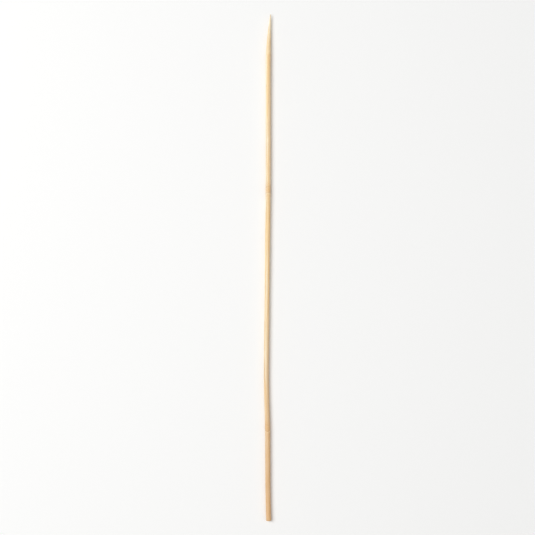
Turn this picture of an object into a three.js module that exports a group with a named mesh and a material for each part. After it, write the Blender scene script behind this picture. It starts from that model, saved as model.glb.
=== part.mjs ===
// A bamboo skewer, lying on its side on a flat surface: the butt end towards -Y, the point towards +Y.
// Millimetres, +Z up, origin on the surface under the middle of the skewer.
import * as THREE from "three";

// The stick: split bamboo shaved round, then sawn to length.
const LENGTH = 300;
const DIAMETER = 3;
const BUTT_EDGE = 0.15; // radius of the rubbed edge round the sawn end

// The point: ground to a long taper with slightly full sides and a blunt tip.
const POINT_LENGTH = 24;
const POINT_FULLNESS = 0.68; // 1 is a straight cone, and a smaller value has fuller sides
const TIP_DIAMETER = 0.3;

// The nodes: the cane's hard rings, which stand a little proud on the side that faced out of the cane.
const FIRST_NODE = 54; // from the butt end
const NODE_SPACING = 141;
const NODE_RISE = 0.08;
const NODE_LENGTH = 14;

// The bends: where the grain pulls the dried stick out of line, as turns towards +X.
const BEND_LENGTH = 24; // each turn is spread over this length
const BUTT_LEAN_DEG = -1.7;
const BUTT_TURN_DEG = 1.6;
const BUTT_TURN_AT = 17; // from the butt end
const FIRST_NODE_TURN_DEG = -1.7;
const BOW_TURN_DEG = 2.4;
const BOW_TURN_AT = 82; // from the butt end
const SECOND_NODE_TURN_DEG = -0.6;
const POINT_TURN_DEG = 3.8;
const POINT_TURN_AT = 21; // from the tip

// The mesh: with an even number of sides one flat side lies underneath.
const SIDES = 24;
const ROW_SPACING = 6;
const NODE_ROW_SPACING = 1.75;
const POINT_ROWS = 14;
const ROUNDING_ROWS = 3;

// The surface: pale straw, planed and dry.
const BAMBOO_COLOUR = 0xeedcb8;
const BAMBOO_ROUGHNESS = 0.62;

const RADIUS = DIAMETER / 2;
const TIP_RADIUS = TIP_DIAMETER / 2;
const POINT_START = LENGTH - POINT_LENGTH;
const TAPER_END = LENGTH - TIP_RADIUS;
const QUARTER_TURN = Math.PI / 2;

// The nodes' distances from the butt end, as many as the plain stick has room for.
function nodePlaces() {
  const places = [];
  for (let at = FIRST_NODE; at + NODE_LENGTH / 2 < POINT_START; at += NODE_SPACING) {
    places.push(at);
  }
  return places;
}

// How much thicker the stick is at the nodes: a smooth hump on each, flat where it starts and ends.
function nodeRiseAt(along) {
  const rises = nodePlaces().map((node) => {
    const away = Math.min(Math.abs(along - node) / (NODE_LENGTH / 2), 1);
    return NODE_RISE * Math.cos(away * QUARTER_TURN) ** 2;
  });
  return Math.max(0, ...rises);
}

// The stick's radius between the rubbed edge of the butt and the rounding of the tip.
function radiusAt(along) {
  const fromTip = Math.min((TAPER_END - along) / (TAPER_END - POINT_START), 1);
  return TIP_RADIUS + (RADIUS + nodeRiseAt(along) / 2 - TIP_RADIUS) * fromTip ** POINT_FULLNESS;
}

// Cuts a stretch into even steps and gives the end of each.
function stepsBetween(from, to, spacing) {
  const count = Math.ceil((to - from) / spacing);
  return Array.from({ length: count }, (_, i) => from + ((to - from) * (i + 1)) / count);
}

// Where the mesh has a row of corners: close together at the nodes and towards the tip.
function rowPlaces() {
  const rows = [BUTT_EDGE];
  for (const node of nodePlaces()) {
    rows.push(...stepsBetween(rows.at(-1), node - NODE_LENGTH / 2, ROW_SPACING));
    rows.push(...stepsBetween(rows.at(-1), node + NODE_LENGTH / 2, NODE_ROW_SPACING));
  }
  rows.push(...stepsBetween(rows.at(-1), POINT_START, ROW_SPACING));
  for (let i = POINT_ROWS - 1; i >= 0; i -= 1) {
    rows.push(TAPER_END - (TAPER_END - POINT_START) * (i / POINT_ROWS) ** 2);
  }
  return rows;
}

// Half the skewer's outline, from the middle of the butt to the end of the tip.
function outline() {
  const points = [new THREE.Vector2(0, 0)];
  for (let i = 0; i < ROUNDING_ROWS; i += 1) {
    const turn = (QUARTER_TURN * i) / ROUNDING_ROWS;
    const inwards = BUTT_EDGE * (1 - Math.sin(turn));
    points.push(new THREE.Vector2(RADIUS - inwards, BUTT_EDGE * (1 - Math.cos(turn))));
  }
  for (const along of rowPlaces()) {
    points.push(new THREE.Vector2(radiusAt(along), along));
  }
  for (let i = 1; i <= ROUNDING_ROWS; i += 1) {
    const turn = (QUARTER_TURN * i) / ROUNDING_ROWS;
    const across = i < ROUNDING_ROWS ? TIP_RADIUS * Math.cos(turn) : 0;
    points.push(new THREE.Vector2(across, TAPER_END + TIP_RADIUS * Math.sin(turn)));
  }
  return points;
}

// How far one turn has carried the stick sideways: a round bend, then a straight run.
function carriedBy(turnDeg, turnAt, along) {
  const past = along - turnAt;
  const half = BEND_LENGTH / 2;
  const run = Math.abs(past) < half ? (past + half) ** 2 / (2 * BEND_LENGTH) : Math.max(past, 0);
  return Math.tan(THREE.MathUtils.degToRad(turnDeg)) * run;
}

// How far the middle of the stick lies to one side.
function sidewaysAt(along) {
  return (
    Math.tan(THREE.MathUtils.degToRad(BUTT_LEAN_DEG)) * along +
    carriedBy(BUTT_TURN_DEG, BUTT_TURN_AT, along) +
    carriedBy(FIRST_NODE_TURN_DEG, FIRST_NODE, along) +
    carriedBy(BOW_TURN_DEG, BOW_TURN_AT, along) +
    carriedBy(SECOND_NODE_TURN_DEG, FIRST_NODE + NODE_SPACING, along) +
    carriedBy(POINT_TURN_DEG, LENGTH - POINT_TURN_AT, along)
  );
}

// The round stick, bent in the plane that it lies in, with its nodes proud on top and flush underneath.
function skewerShape() {
  const shape = new THREE.LatheGeometry(outline(), SIDES, Math.PI / SIDES);
  const corners = shape.getAttribute("position");
  for (let i = 0; i < corners.count; i += 1) {
    const along = corners.getY(i);
    corners.setX(i, corners.getX(i) + sidewaysAt(along));
    corners.setZ(i, corners.getZ(i) + nodeRiseAt(along) / 2);
  }
  shape.computeVertexNormals();
  shape.computeBoundingBox();
  const middle = shape.boundingBox.getCenter(new THREE.Vector3());
  shape.translate(-middle.x, -middle.y, -shape.boundingBox.min.z);
  return shape;
}

function bamboo() {
  return new THREE.MeshStandardMaterial({
    color: BAMBOO_COLOUR,
    roughness: BAMBOO_ROUGHNESS,
    metalness: 0,
  });
}

const skewer = new THREE.Mesh(skewerShape(), bamboo());
skewer.name = "skewer";

const part = new THREE.Group();
part.add(skewer);

export default part;
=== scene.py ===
# A bamboo skewer on a pale surface, seen from straight above with its point up the picture.
import math

import bmesh
import bpy
import numpy as np
from mathutils import Matrix, Vector, noise


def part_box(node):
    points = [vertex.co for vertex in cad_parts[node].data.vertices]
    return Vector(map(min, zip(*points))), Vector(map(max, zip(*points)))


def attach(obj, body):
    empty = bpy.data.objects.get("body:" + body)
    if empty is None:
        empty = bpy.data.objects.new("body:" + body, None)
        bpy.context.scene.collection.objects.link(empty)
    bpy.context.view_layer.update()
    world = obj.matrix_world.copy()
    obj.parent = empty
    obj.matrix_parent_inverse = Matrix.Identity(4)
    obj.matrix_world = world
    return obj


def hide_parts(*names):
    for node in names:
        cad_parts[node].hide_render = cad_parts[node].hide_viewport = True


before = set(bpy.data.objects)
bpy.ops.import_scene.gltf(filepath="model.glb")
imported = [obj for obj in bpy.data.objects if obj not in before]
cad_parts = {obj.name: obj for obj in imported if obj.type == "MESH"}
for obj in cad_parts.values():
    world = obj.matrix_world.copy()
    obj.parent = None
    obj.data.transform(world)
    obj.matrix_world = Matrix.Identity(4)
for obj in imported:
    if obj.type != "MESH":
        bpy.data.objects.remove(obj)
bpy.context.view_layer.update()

# The stick is one split of a bamboo cane, 3 mm thick. It is pulled through a ring of knives that shaves it
# round, so its fibres run from end to end and the harder nodes stay a little proud. Its middle line and its
# thickness are the frame's own, read from the rows of corners of the CAD stick.
MM = 0.001
HAIR = 0.001 * MM  # what is closer than this is in the same place
GIRTH_FACES = 96
ROW = 0.40 * MM  # length of a face on the plain stick
FINE_ROW = 0.20 * MM  # at the nodes, at the butt and on the point
NODE_REACH = 6 * MM  # half the length of stick that a node takes up
BUTT_REACH = 4 * MM  # the length of stick at the butt that has fine rows
BUTT_RINGS = 13  # rings of faces on the sawn end
END_ROUNDING = 0.3 * MM  # this near to an end the frame's own rows are kept

# Its nodes: round each go a ridge with a groove beside it and, nearer to the point, a thin scar.
SKIN_SIDE = (0.66, 0.0, 0.75)  # the side that faced out of the cane: the top and the right
NODE_VEES = (0.75, 0.0)  # how deep a V each node's rings make across the stick, in millimetres
NODE_LEANS = (0.10, -0.35)  # how far they lean, from its middle to its side
RING_RIDGE = -1.5 * MM  # from the middle of a node, towards the butt
RIDGE_TO_GROOVE = 0.9 * MM
RING_SCAR = 3.0 * MM  # from the middle of a node, towards the point
RIDGE_HEIGHT = 0.040 * MM
RIDGE_WIDTH = 0.60 * MM
GROOVE_WIDTH = 0.25 * MM
SCAR_DEPTH = 0.030 * MM
SCAR_WIDTH = 0.20 * MM
SWIRL_REACH = 2.6 * MM

# Its fibres, which sway where they pass a node, and the marks of the saw at the butt.
BUNDLE_GROOVE_DEPTH = 0.045 * MM
FIBRE_DEPTH = 0.018 * MM
SWAY_REACH = 4 * MM
SWAY_TURN = 0.5  # radians that the grain is turned at a node
SAW_DEPTH = 0.018 * MM
CHIP_DEPTH = 0.10 * MM
CHIP_LENGTHS = (0.15 * MM, 1.05 * MM)  # where the rim is whole, and where it is torn the most

# Its surface laid out flat, on a map that goes from 0 to 1 both ways.
STRIPS = 6  # the side is cut into as many lengths, which lie side by side
STRIP_TOP = 0.93  # the strips end here, under the sawn end
STRIP_GAP = 0.004
END_MIDDLE = (0.05, 0.966)
END_RADIUS = 0.030
END_DEPTH = 0.1 * MM  # no relief of the sawn end is deeper on the stick

low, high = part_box("skewer")
BUTT = low[1]
LENGTH = high[1] - low[1]


def rows_of_corners(mesh):
    """The CAD stick's rows: each one's distance from the butt, middle x, middle z and radius."""
    rows = {}
    for corner in mesh.vertices:
        rows.setdefault(round(corner.co.y - BUTT, 6), []).append(corner.co)
    found = []
    for along in sorted(rows):
        xs = [corner.x for corner in rows[along]]
        zs = [corner.z for corner in rows[along]]
        middle = Vector(((min(xs) + max(xs)) / 2, (min(zs) + max(zs)) / 2))
        radius = max((Vector((corner.x, corner.z)) - middle).length for corner in rows[along])
        found.append((along, middle.x, middle.y, radius))
    return np.array(found).T


ROW_PLACES, ROW_X, ROW_Z, ROW_RADII = rows_of_corners(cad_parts["skewer"].data)
RADIUS = float(np.median(ROW_RADII))
LIFT = RADIUS - float(np.median(ROW_Z))  # the round stick stands on its curve, the CAD one on a flat side
thicker = np.minimum(ROW_RADII[1:-1] - ROW_RADII[:-2], ROW_RADII[1:-1] - ROW_RADII[2:]) > HAIR
NODES = ROW_PLACES[1:-1][thicker].tolist()  # from the butt
POINT_START = float(ROW_PLACES[ROW_RADII > RADIUS - HAIR][-1])


def smooth_step(value, start, end):
    share = min(max((value - start) / (end - start), 0.0), 1.0)
    return share * share * (3 - 2 * share)


def hump(away, width):
    return math.exp(-((away / width) ** 2))


def spots(across, upwards, closeness, along):
    """Noise from -1 to 1 over the stick's section. What is added to the place along keeps patterns apart."""
    return noise.noise(Vector((closeness * across, along, closeness * upwards)))


def fine_here(along):
    near_node = any(abs(along - node) < NODE_REACH for node in NODES)
    return near_node or along < BUTT_REACH or along > POINT_START


def plain_stick():
    """A straight round bar as long as the stick, cut into rows, closed at the tip and ringed at the butt."""
    bar = bmesh.new()
    bmesh.ops.create_cone(
        bar, cap_ends=True, segments=GIRTH_FACES, radius1=RADIUS, radius2=RADIUS, depth=LENGTH
    )
    lay_down = Matrix.Translation((0, LENGTH / 2, 0)) @ Matrix.Rotation(-math.pi / 2, 4, "X")
    bmesh.ops.transform(bar, matrix=lay_down, verts=bar.verts)
    cuts = [LENGTH * (strip + 1) / STRIPS for strip in range(STRIPS - 1)]
    cuts += [node + side * NODE_REACH for node in NODES for side in (-1, 1)]
    cuts += [BUTT_REACH, POINT_START]
    cuts += [place for place in ROW_PLACES if 0 < min(place, LENGTH - place) < END_ROUNDING]
    for cut in cuts:
        whole = bar.verts[:] + bar.edges[:] + bar.faces[:]
        bmesh.ops.bisect_plane(bar, geom=whole, dist=HAIR, plane_co=(0, cut, 0), plane_no=(0, 1, 0))
    stretches = {}
    for edge in bar.edges:
        start, end = sorted(corner.co.y for corner in edge.verts)
        if end - start > HAIR:
            stretches.setdefault((round(start, 7), round(end, 7)), []).append(edge)
    for (start, end), edges in stretches.items():
        spacing = FINE_ROW if fine_here((start + end) / 2) else ROW
        extra_rows = round((end - start) / spacing) - 1
        if extra_rows > 0:
            bmesh.ops.subdivide_edges(bar, edges=edges, cuts=extra_rows)
    caps = [face for face in bar.faces if len(face.verts) > 4]
    butt_cap, tip_cap = sorted(caps, key=lambda cap: cap.calc_center_median().y)
    for _ in range(BUTT_RINGS):
        bmesh.ops.inset_region(bar, faces=[butt_cap], thickness=RADIUS / (BUTT_RINGS + 1))
    bmesh.ops.poke(bar, faces=[butt_cap])
    tip_ring = tip_cap.verts[:]
    bmesh.ops.delete(bar, geom=[tip_cap], context="FACES_ONLY")
    bmesh.ops.pointmerge(bar, verts=tip_ring, merge_co=(0, LENGTH, 0))
    return bar


def node_relief(along, across, upwards):
    """Height of each node's ridge and scar, and of the swirled fibres between them."""
    outside = 0.5 + 0.5 * (SKIN_SIDE[0] * across + SKIN_SIDE[2] * upwards)
    swirls = spots(across, upwards, 3.5, along / MM)
    height = 0.0
    for node, vee, lean in zip(NODES, NODE_VEES, NODE_LEANS):
        wander = 0.25 * spots(across, upwards, 2, node / MM)
        away = along - node + (vee * (0.5 - abs(across)) + lean * across + wander) * MM
        height += RIDGE_HEIGHT * outside * hump(away - RING_RIDGE, RIDGE_WIDTH)
        height -= RIDGE_HEIGHT * hump(away - RING_RIDGE - RIDGE_TO_GROOVE, GROOVE_WIDTH)
        height -= SCAR_DEPTH * outside * hump(away - RING_SCAR, SCAR_WIDTH)
        height += FIBRE_DEPTH * swirls * hump(away, SWIRL_REACH)
    return height


def grain_relief(along, across, upwards):
    """Depth of the long grooves between the fibre bundles, and of the fibres themselves."""
    run = along / MM
    sway = SWAY_TURN * sum(hump(along - node, SWAY_REACH) for node in NODES)
    turn = sway * noise.noise(Vector((0.4 * run, 3, 0)))
    turned = (
        across * math.cos(turn) - upwards * math.sin(turn),
        across * math.sin(turn) + upwards * math.cos(turn),
    )
    groove = smooth_step(spots(*turned, 3.1, 0.018 * run), 0.05, 0.5)
    fibre = spots(*turned, 8.0, 0.060 * run + 40)
    uneven = spots(*turned, 1.1, 0.050 * run + 90)
    return -BUNDLE_GROOVE_DEPTH * groove - FIBRE_DEPTH * (0.8 + fibre + 0.6 * uneven)


def chip_relief(along, across, upwards):
    """Depth of the chips that the saw tears out of the butt's rim."""
    torn = smooth_step(spots(across, upwards, 3.3, 31), 0.15, 0.55)
    shortest, longest = CHIP_LENGTHS
    return -CHIP_DEPTH * torn * hump(along, shortest + (longest - shortest) * torn)


def end_relief(across, upwards):
    """Depth of the sawn end's torn fibres and saw lines."""
    ends = spots(across, upwards, 6.5, 11)
    sawn = noise.noise(Vector((2.0 * across + 14.0 * upwards, 23, 0)))
    return SAW_DEPTH * (1 + 1.2 * ends + 0.8 * sawn)


def shape_stick(bar):
    """Gives the bar the frame's bends and thickness, and the relief of its side and its sawn end."""
    straight = bar.verts.layers.float_vector.new("along_grain")
    for corner in bar.verts:
        along = min(max(corner.co.y, 0.0), LENGTH)
        out = math.hypot(corner.co.x, corner.co.z)
        across = corner.co.x / out if out else 0.0
        upwards = corner.co.z / out if out else 0.0
        radius = float(np.interp(along, ROW_PLACES, ROW_RADII))
        share = min(out / RADIUS, 1.0)
        relief = grain_relief(along, across, upwards)
        relief += node_relief(along, across, upwards)
        relief += chip_relief(along, across, upwards)
        reach = share * (radius + relief * min(radius / RADIUS, share))
        inside_end = along < HAIR and share < 1 - 0.5 / BUTT_RINGS
        sunk = end_relief(across * share, upwards * share) if inside_end else 0.0
        corner[straight] = (across * reach / MM, (along + sunk) / MM, upwards * reach / MM)
        corner.co.x = float(np.interp(along, ROW_PLACES, ROW_X)) + across * reach
        corner.co.z = float(np.interp(along, ROW_PLACES, ROW_Z)) + LIFT + upwards * reach
        corner.co.y = BUTT + along + sunk


def lay_out_flat(bar):
    """A flat map of the surface: the side as strips next to each other, and the sawn end above them."""
    flat = bar.loops.layers.uv.new("OFBake")
    straight = bar.verts.layers.float_vector["along_grain"]
    strip_length = LENGTH / STRIPS / MM
    strip_width = 1 / STRIPS - 2 * STRIP_GAP
    end_scale = END_RADIUS / (RADIUS / MM)
    for face in bar.faces:
        places = [loop.vert[straight] for loop in face.loops]
        middle = sum(places, Vector()) / len(places)
        sawn = face.normal.y < -0.9 and middle.y < END_DEPTH / MM
        face.material_index = 1 if sawn else 0
        strip = min(int(middle.y / strip_length), STRIPS - 1)
        facing = math.atan2(middle.x, middle.z)
        for loop, place in zip(face.loops, places):
            if sawn:
                loop[flat].uv = (END_MIDDLE[0] + place.x * end_scale, END_MIDDLE[1] + place.z * end_scale)
                continue
            at_tip = math.hypot(place.x, place.z) < HAIR / MM
            angle = facing if at_tip else math.atan2(place.x, place.z)
            angle += 2 * math.pi * round((facing - angle) / (2 * math.pi))
            around = 0.5 + angle / (2 * math.pi)
            along = place.y / strip_length - strip
            loop[flat].uv = (
                strip / STRIPS + STRIP_GAP + around * strip_width,
                STRIP_GAP + along * (STRIP_TOP - STRIP_GAP),
            )


stick = plain_stick()
shape_stick(stick)
bmesh.ops.recalc_face_normals(stick, faces=stick.faces)
lay_out_flat(stick)
for face in stick.faces:
    face.smooth = True
mesh = bpy.data.meshes.new("bamboo_stick")
stick.to_mesh(mesh)
stick.free()
skewer = bpy.data.objects.new("bamboo_stick", mesh)
bpy.context.scene.collection.objects.link(skewer)
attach(skewer, "root")
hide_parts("skewer")


# The bamboo itself: pale straw pith with tan fibre bundles along the stick. They show as streaks on its
# side, as slivers where the point is ground through them, and as dots on the sawn end. They are finer
# and closer on the side that faced out of the cane. Both finishes below take their looks from here.
BUNDLES_PER_MM = (2.2, 3.3)  # towards the inside of the cane, and towards its outside
SHADED_TAN_SIDE = (0.90, 0.0, 0.44)  # the side with the most tan: the right, where painted warm shade stands in for light bounced into the side away from the key, and some of the top, for the tan of the cane's outer skin
BUTT_SHADE_AND_TAN_REACH = 140 * MM  # the darkening towards the butt, mostly painted shade and partly the cane's own tan, fades out over this


def colour(red, green, blue):
    """A colour as it is seen on a screen, 0 to 255, as the value that a shader takes."""
    shares = [channel / 255 for channel in (red, green, blue)]
    return [part / 12.92 if part <= 0.04045 else ((part + 0.055) / 1.055) ** 2.4 for part in shares] + [1]


CREAM_PITH = colour(253, 246, 219)
STRAW_PITH = colour(248, 219, 167)
TAN_PATCH = colour(246, 211, 160)
# painted warm shade for the right side, with the tan of the cane's outer skin
SIDE_TAN_AND_SHADE = colour(240, 192, 132)
# painted shade towards the butt, with some of the cane's own tan
BUTT_TAN_AND_SHADE = colour(219, 170, 116)
PALE_FIBRE = colour(255, 248, 230)
TAN_FIBRE = colour(212, 165, 108)
BUNDLE_TAN = colour(203, 151, 92)
PORE_BROWN = colour(170, 117, 68)
THREAD_BROWN = colour(160, 108, 60)


def add(tree, kind, inputs=(), **settings):
    """Adds a shader node with its settings, and links or sets its inputs."""
    node = tree.nodes.new(kind)
    for name, value in settings.items():
        setattr(node, name, value)
    for name, value in dict(inputs).items():
        if isinstance(value, bpy.types.NodeSocket):
            tree.links.new(value, node.inputs[name])
        else:
            node.inputs[name].default_value = value
    return node


def calculate(tree, operation, *values):
    return add(tree, "ShaderNodeMath", dict(enumerate(values)), operation=operation).outputs[0]


def stretch(tree, place, across, along):
    """The place with its cross-section and its length scaled, for a pattern drawn out along the grain."""
    scaled = {0: place, 1: (across, along, across)}
    return add(tree, "ShaderNodeVectorMath", scaled, operation="MULTIPLY").outputs[0]


def ramp(tree, value, start, end, from_value=0.0, to_value=1.0):
    """A value that goes smoothly from one level to the other while the given one goes from start to end."""
    inputs = {"Value": value, 1: start, 2: end, 3: from_value, 4: to_value}
    return add(tree, "ShaderNodeMapRange", inputs, interpolation_type="SMOOTHSTEP").outputs[0]


def streaks(tree, place, across, along, detail=3.0):
    """Noise drawn out along the grain, with so many spots to the millimetre across and along it."""
    drawn_out = stretch(tree, place, across, along)
    inputs = {"Vector": drawn_out, "Scale": 1.0, "Detail": detail, "Roughness": 0.55}
    return add(tree, "ShaderNodeTexNoise", inputs).outputs[0]


def mix(tree, share, first, second):
    return add(tree, "ShaderNodeMix", {0: share, 6: first, 7: second}, data_type="RGBA").outputs[2]


def tint(tree, shade, mask, strength, towards):
    """The shade, taken towards another colour where the mask is."""
    return mix(tree, calculate(tree, "MULTIPLY", mask, strength), shade, towards)


def near(tree, value, middle, reach):
    """A mask that is 1 at the middle and fades to 0 at the reach on either side."""
    away = calculate(tree, "ABSOLUTE", calculate(tree, "SUBTRACT", value, middle))
    return ramp(tree, away, reach, 0.0)


def wavering(tree, place, across, along, strength):
    """A sideways shift of the place that wanders along the grain."""
    inputs = {"Vector": stretch(tree, place, across, along), "Scale": 1.0}
    wander = add(tree, "ShaderNodeTexNoise", inputs).outputs["Color"]
    centred = add(tree, "ShaderNodeVectorMath", {0: wander, 1: (0.5, 0.5, 0.5)}, operation="SUBTRACT")
    inputs = {0: centred.outputs[0], 3: strength}
    return add(tree, "ShaderNodeVectorMath", inputs, operation="SCALE").outputs[0]


def side_mask(tree, place, side):
    """A mask that goes from 0 on the stick's far side to about 1 on the given one."""
    outward = add(tree, "ShaderNodeVectorMath", {0: place, 1: side}, operation="DOT_PRODUCT")
    return ramp(tree, outward.outputs["Value"], -0.6, 1.7)


def bamboo_grain():
    """Colour, height, bundles and pores of bamboo at a place in millimetres on the straight stick. The
    colour has painted shade in it, on the right side and towards the butt.
    """
    group = bpy.data.node_groups.new("bamboo_grain", "ShaderNodeTree")
    group.interface.new_socket("Place", in_out="INPUT", socket_type="NodeSocketVector")
    group.interface.new_socket("Colour", in_out="OUTPUT", socket_type="NodeSocketColor")
    for name in ("Height", "Bundles", "Pores"):
        group.interface.new_socket(name, in_out="OUTPUT", socket_type="NodeSocketFloat")
    place = add(group, "NodeGroupInput").outputs["Place"]
    along = add(group, "ShaderNodeSeparateXYZ", {0: place}).outputs["Y"]
    skin = side_mask(group, place, SKIN_SIDE)
    tanned_and_shaded = side_mask(group, place, SHADED_TAN_SIDE)
    at_nodes = calculate(group, "ADD", *(near(group, along, node / MM, NODE_REACH / MM) for node in NODES))
    bent = place
    for shift in (wavering(group, place, 0.3, 0.04, 1.0), wavering(group, place, 0.9, 0.55, at_nodes)):
        bent = add(group, "ShaderNodeVectorMath", {0: bent, 1: shift}).outputs[0]

    section = add(group, "ShaderNodeSeparateXYZ", {0: bent}).outputs
    section = add(group, "ShaderNodeCombineXYZ", {0: section["X"], 1: section["Z"]}).outputs[0]
    cells = []
    for cells_per_mm in BUNDLES_PER_MM:
        inputs = {"Vector": section, "Scale": cells_per_mm, "Randomness": 0.8}
        cells.append(add(group, "ShaderNodeTexVoronoi", inputs, voronoi_dimensions="2D").outputs)
    finer = ramp(group, skin, 0.50, 0.56)
    tone = mix(group, finer, cells[0]["Color"], cells[1]["Color"])
    tone = add(group, "ShaderNodeSeparateXYZ", {0: tone}).outputs["X"]
    away = add(group, "ShaderNodeMix", {0: finer, 2: cells[0]["Distance"], 3: cells[1]["Distance"]})
    away = calculate(group, "MULTIPLY", away.outputs[0], ramp(group, tone, 0.0, 1.0, 1.7, 0.9))
    bundles = ramp(group, away, 0.36, 0.20)
    pores = ramp(group, away, 0.12, 0.06)
    fibres = streaks(group, bent, 9.0, 0.08)
    threads = streaks(group, bent, 24.0, 0.30, detail=2.0)
    stripes = streaks(group, bent, 1.1, 0.008, detail=1.0)
    patches = streaks(group, bent, 0.7, 0.030, detail=2.0)

    shade = mix(group, ramp(group, stripes, 0.43, 0.55), CREAM_PITH, STRAW_PITH)
    shade = tint(group, shade, ramp(group, patches, 0.42, 0.72), 0.40, TAN_PATCH)
    # painted warm shade on the right side, away from the key light, mixed with the tan of the cane's outer
    # skin
    shade = tint(group, shade, tanned_and_shaded, 0.60, SIDE_TAN_AND_SHADE)
    # darker and tanner towards the butt: mostly painted shade, partly the cane's own tone
    shade = tint(group, shade, ramp(group, along, BUTT_SHADE_AND_TAN_REACH / MM, 0.0), 0.80, BUTT_TAN_AND_SHADE)
    shade = tint(group, shade, ramp(group, fibres, 0.44, 0.24), 0.55, PALE_FIBRE)
    shade = tint(group, shade, ramp(group, fibres, 0.50, 0.76), 0.42, TAN_FIBRE)
    shade = tint(group, shade, bundles, ramp(group, tone, 0.0, 1.0, 0.06, 0.60), BUNDLE_TAN)
    shade = tint(group, shade, pores, ramp(group, threads, 0.40, 0.60, 0.10, 0.55), PORE_BROWN)
    shade = tint(group, shade, ramp(group, threads, 0.62, 0.76), 0.45, THREAD_BROWN)

    height = calculate(group, "MULTIPLY_ADD", fibres, 0.6, calculate(group, "MULTIPLY", threads, 0.45))
    height = calculate(group, "MULTIPLY_ADD", bundles, 0.30, height)
    height = calculate(group, "MULTIPLY_ADD", pores, -0.45, height)
    outputs = add(group, "NodeGroupOutput").inputs
    for name, value in (("Colour", shade), ("Height", height), ("Bundles", bundles), ("Pores", pores)):
        group.links.new(value, outputs[name])
    return group


GRAIN = bamboo_grain()


def new_material(name):
    """A material with the bamboo's grain in it, and what a finish needs of it."""
    material = bpy.data.materials.new(name)
    material.use_nodes = True
    tree = material.node_tree
    tree.nodes.clear()
    surface = add(tree, "ShaderNodeBsdfPrincipled", {"Metallic": 0.0, "Specular IOR Level": 0.35})
    add(tree, "ShaderNodeOutputMaterial", {"Surface": surface.outputs[0]})
    place = add(tree, "ShaderNodeAttribute", attribute_name="along_grain").outputs["Vector"]
    grain = add(tree, "ShaderNodeGroup", node_tree=GRAIN)
    tree.links.new(place, grain.inputs["Place"])
    return material, tree, surface, place, grain.outputs


def finish_surface(tree, surface, shade, roughness, height, depth):
    bump = add(tree, "ShaderNodeBump", {"Strength": 1.0, "Distance": depth, "Height": height})
    tree.links.new(shade, surface.inputs["Base Color"])
    tree.links.new(roughness, surface.inputs["Roughness"])
    tree.links.new(bump.outputs[0], surface.inputs["Normal"])


# The shaved side and the ground point. The knives leave the side faintly glossy along the fibres, and each
# node keeps a tan band with the brown lines of its rings. The grinding wheel leaves the point paler and
# duller, with fine scratches round it.
BAND_MIDDLE = 1.0 * MM  # from the middle of a node, towards the point
RIDGE_FADE = 1.0 * MM  # the colour of a ring's ridge, groove or scar fades out over this
GROOVE_FADE = 0.36 * MM
SCAR_FADE = 0.26 * MM
GROUND_EDGE = 6.0 * MM  # the most that the edge of the ground point runs in and out
TIP_REACH = 2.5 * MM
RIM_FADE = (1.4, 0.3)  # from where to where the brown rim fades in, before its edge is made ragged
SIDE_BUMP = 0.050 * MM
BAND_TAN = colour(224, 178, 121)
PALE_RIDGE = colour(254, 240, 212)
RING_BROWN = colour(176, 122, 70)
GROUND_STRAW = colour(255, 240, 208)
TIP_TAN = colour(214, 170, 114)
RIM_BROWN = colour(198, 150, 98)


def node_marks(tree, shade, place, across, along):
    """Adds each node's tan band, its pale ridge and the brown lines of its groove and its scar."""
    half = RADIUS / MM
    wander = streaks(tree, place, 1.3, 0.02, detail=2.0)
    ragged = streaks(tree, place, 6.0, 0.8)
    swirls = streaks(tree, place, 2.6, 0.9)
    band_strength = ramp(tree, swirls, 0.30, 0.65, 0.25, 0.60)
    ridge_strength = ramp(tree, ragged, 0.35, 0.60, 0.45, 0.10)
    groove_strength = ramp(tree, ragged, 0.38, 0.58, 0.10, 0.55)
    scar_strength = ramp(tree, ragged, 0.38, 0.58, 0.10, 0.42)
    for node, vee, lean in zip(NODES, NODE_VEES, NODE_LEANS):
        moved = calculate(tree, "MULTIPLY_ADD", calculate(tree, "ABSOLUTE", across), -vee / half, vee / 2)
        moved = calculate(tree, "MULTIPLY_ADD", across, lean / half, moved)
        moved = calculate(tree, "MULTIPLY_ADD", wander, 1.2, calculate(tree, "ADD", moved, -0.6))
        level = calculate(tree, "SUBTRACT", calculate(tree, "ADD", along, moved), node / MM)
        band = near(tree, level, BAND_MIDDLE / MM, NODE_REACH / MM)
        shade = tint(tree, shade, band, band_strength, BAND_TAN)
        ridge = near(tree, level, RING_RIDGE / MM, RIDGE_FADE / MM)
        shade = tint(tree, shade, ridge, ridge_strength, PALE_RIDGE)
        groove = near(tree, level, (RING_RIDGE + RIDGE_TO_GROOVE) / MM, GROOVE_FADE / MM)
        shade = tint(tree, shade, groove, groove_strength, RING_BROWN)
        scar = near(tree, level, RING_SCAR / MM, SCAR_FADE / MM)
        shade = tint(tree, shade, scar, scar_strength, RING_BROWN)
    return shade


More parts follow.
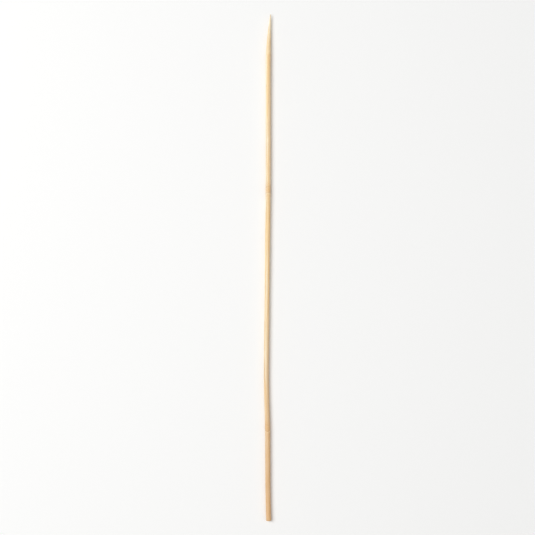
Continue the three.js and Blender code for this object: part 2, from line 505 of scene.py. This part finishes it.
def shaved_side():
    material, tree, surface, place, grain = new_material("shaved_bamboo")
    across, along, _ = add(tree, "ShaderNodeSeparateXYZ", {0: place}).outputs
    shade = node_marks(tree, grain["Colour"], place, across, along)
    ragged = streaks(tree, place, 6.0, 0.8)
    start, edge = POINT_START / MM, GROUND_EDGE / MM
    past_edge = calculate(tree, "SUBTRACT", along, calculate(tree, "MULTIPLY", ragged, edge))
    ground = ramp(tree, past_edge, start - 0.6 * edge, start - 0.3 * edge)
    shade = tint(tree, shade, ground, 0.28, GROUND_STRAW)
    tip = ramp(tree, along, (LENGTH - TIP_REACH) / MM, LENGTH / MM)
    shade = tint(tree, shade, tip, 0.40, TIP_TAN)
    rim = ramp(tree, calculate(tree, "MULTIPLY_ADD", ragged, 1.2, along), *RIM_FADE)
    shade = tint(tree, shade, rim, 0.45, RIM_BROWN)
    scratches = calculate(tree, "MULTIPLY", streaks(tree, place, 1.5, 7.0, detail=2.0), ground)
    height = calculate(tree, "MULTIPLY_ADD", scratches, 0.7, grain["Height"])
    roughness = ramp(tree, grain["Height"], 0.3, 0.9, 0.44, 0.66)
    roughness = calculate(tree, "MULTIPLY_ADD", ground, 0.16, roughness)
    finish_surface(tree, surface, shade, roughness, height, SIDE_BUMP)
    return material


# The sawn end. The saw cuts across the fibre bundles, which show end on as brown dots with dark pores, in
# paler pith with a little sawdust in it.
END_BUMP = 0.040 * MM
END_PITH = colour(238, 202, 152)
END_BUNDLE = colour(172, 122, 74)
END_PORE = colour(116, 76, 44)
SAWDUST = colour(246, 230, 200)


def sawn_end():
    material, tree, surface, place, grain = new_material("sawn_bamboo")
    shade = mix(tree, 0.55, grain["Colour"], END_PITH)
    shade = tint(tree, shade, grain["Bundles"], 0.50, END_BUNDLE)
    shade = tint(tree, shade, grain["Pores"], 0.60, END_PORE)
    uneven = add(tree, "ShaderNodeTexNoise", {"Vector": stretch(tree, place, 3.0, 0.0), "Scale": 2.0})
    dust = streaks(tree, place, 8.0, 1.0)
    shade = tint(tree, shade, ramp(tree, dust, 0.55, 0.75), 0.35, SAWDUST)
    height = calculate(tree, "MULTIPLY_ADD", grain["Bundles"], 0.4, uneven.outputs[0])
    height = calculate(tree, "MULTIPLY_ADD", grain["Pores"], -1.2, height)
    height = calculate(tree, "ADD", height, dust)
    roughness = ramp(tree, dust, 0.3, 0.7, 0.72, 0.9)
    finish_surface(tree, surface, shade, roughness, height, END_BUMP)
    return material


mesh.materials.append(shaved_side())
mesh.materials.append(sawn_end())


# The surface that the skewer lies on: a plain pale board that runs out of sight, matt enough to keep only
# a soft shadow along the stick.
BOARD_REACH = 6.0  # from its middle to its edges
BOARD_WHITE = colour(252, 252, 251)


def board():
    sheet = bmesh.new()
    bmesh.ops.create_grid(sheet, x_segments=1, y_segments=1, size=BOARD_REACH)
    board_mesh = bpy.data.meshes.new("board")
    sheet.to_mesh(board_mesh)
    sheet.free()
    material = bpy.data.materials.new("pale_board")
    material.use_nodes = True
    surface = material.node_tree.nodes["Principled BSDF"]
    surface.inputs["Base Color"].default_value = BOARD_WHITE
    surface.inputs["Roughness"].default_value = 0.9
    surface.inputs["Specular IOR Level"].default_value = 0.1
    board_mesh.materials.append(material)
    item = bpy.data.objects.new("board", board_mesh)
    bpy.context.scene.collection.objects.link(item)
    return item


board()


# The light: one wide soft box above and to the left, a weaker one on the right, and a pale room around,
# which the camera and reflections see as white.
def soft_box(name, place, size, power):
    lamp = bpy.data.lights.new(name, "AREA")
    lamp.shape = "RECTANGLE"
    lamp.size, lamp.size_y = size
    lamp.energy = power
    item = bpy.data.objects.new(name, lamp)
    item.location = place
    item.rotation_euler = (-Vector(place)).to_track_quat("-Z", "Y").to_euler()
    bpy.context.scene.collection.objects.link(item)


def room(strength):
    world = bpy.data.worlds.new("room")
    world.use_nodes = True
    tree = world.node_tree
    tree.nodes.clear()
    path = add(tree, "ShaderNodeLightPath").outputs
    seen = calculate(tree, "MAXIMUM", path["Is Camera Ray"], path["Is Glossy Ray"])
    level = add(tree, "ShaderNodeMapRange", {"Value": seen, 3: strength, 4: 1.0}).outputs[0]
    light = add(tree, "ShaderNodeBackground", {"Color": (1, 1, 1, 1), "Strength": level})
    add(tree, "ShaderNodeOutputWorld", {"Surface": light.outputs[0]})
    bpy.context.scene.world = world


soft_box("key", place=(-0.90, 0.20, 1.40), size=(0.8, 1.2), power=20.5)
soft_box("fill", place=(0.90, -0.20, 1.20), size=(0.8, 1.2), power=3.2)
room(strength=0.32)


# The camera: straight above the middle of the stick, far enough off for a long lens, with the whole stick
# in the picture's height.
LENS = 100 * MM
SENSOR = 36 * MM
STICK_SHARE = 0.945  # of the picture's height
camera_data = bpy.data.cameras.new("camera")
camera_data.lens = LENS / MM
camera_data.sensor_width = SENSOR / MM
camera = bpy.data.objects.new("camera", camera_data)
distance = LENGTH / STICK_SHARE * LENS / SENSOR
camera.location = (0, BUTT + LENGTH / 2, distance)
bpy.context.scene.collection.objects.link(camera)
bpy.context.scene.camera = camera
bpy.context.scene.view_settings.view_transform = "Standard"
